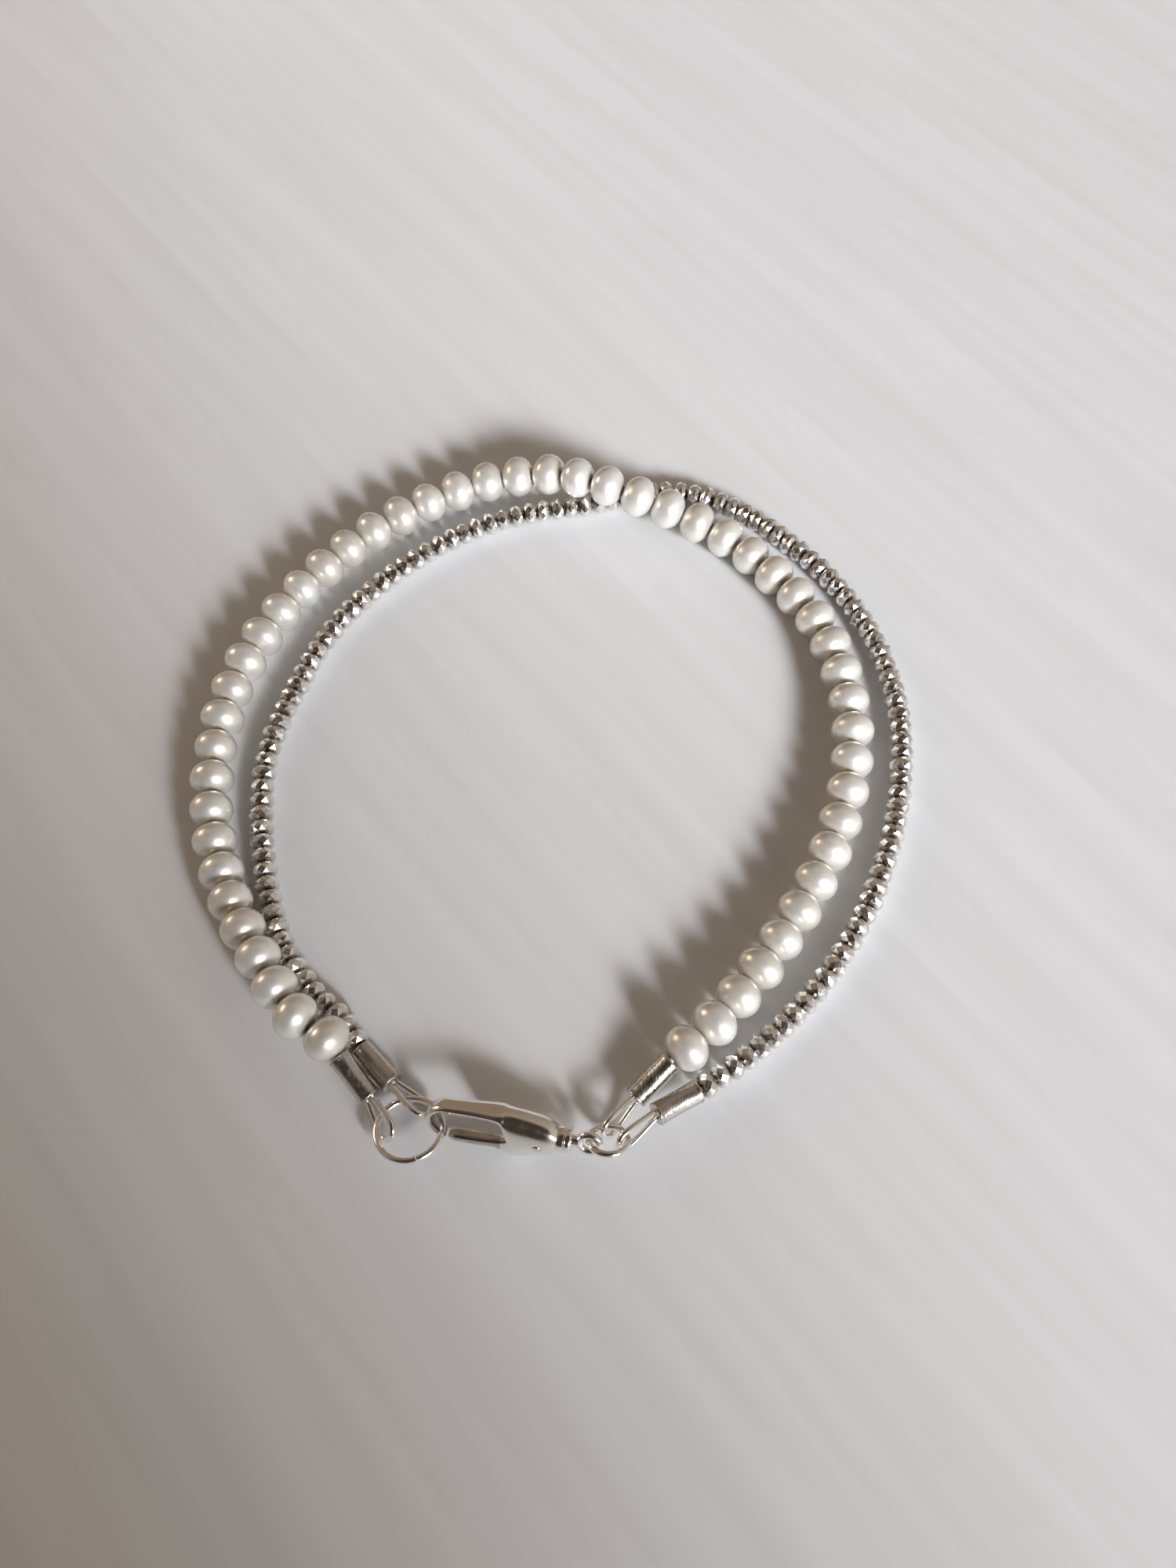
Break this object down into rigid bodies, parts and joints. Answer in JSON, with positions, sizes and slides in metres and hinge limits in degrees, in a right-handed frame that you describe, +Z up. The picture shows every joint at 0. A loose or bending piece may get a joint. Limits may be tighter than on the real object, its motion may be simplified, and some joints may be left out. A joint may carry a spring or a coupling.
{
  "type": "pearl bracelet",
  "caption": "Bracelet with a strand of button pearls and a strand of fine faceted silver beads, closed by a lobster clasp that hooks a jump ring.",
  "frame": {"origin": "centre of the bracelet's box, on the surface it lies on", "axes": "+Z up from the surface, +Y from the clasp to the far side of the loop, +X to the right of it"},
  "size_m": [0.0598, 0.065, 0.0062],
  "materials": {
    "pearl": "nacre, creamy white lustre",
    "silver": "polished silver"
  },
  "bodies": {
    "bracelet": {"clasp_body": "silver", "clasp_pin": "silver", "crimp_tube_pearl_left": "silver", "crimp_tube_pearl_right": "silver", "crimp_tube_silver_left": "silver", "crimp_tube_silver_right": "silver", "eye_ring": "silver", "hook_ring": "silver", "pearl_strand": "pearl", "silver_bead_strand": "silver", "wire_guard_pearl_left": "silver", "wire_guard_pearl_right": "silver", "wire_guard_silver_left": "silver", "wire_guard_silver_right": "silver"},
    "lever": {"clasp_lever": "silver"}
  },
  "joints": [
    {"name": "clasp_lever_hinge", "type": "hinge", "parent": "bracelet", "child": "lever", "pos_m": [-0.00087, -0.03072, 0.00185], "axis": [0.1826, 0.8723, -0.4537], "range_deg": [0, 16], "stiffness_Nm_per_rad": 0.003, "springref_deg": -11.46}
  ]
}
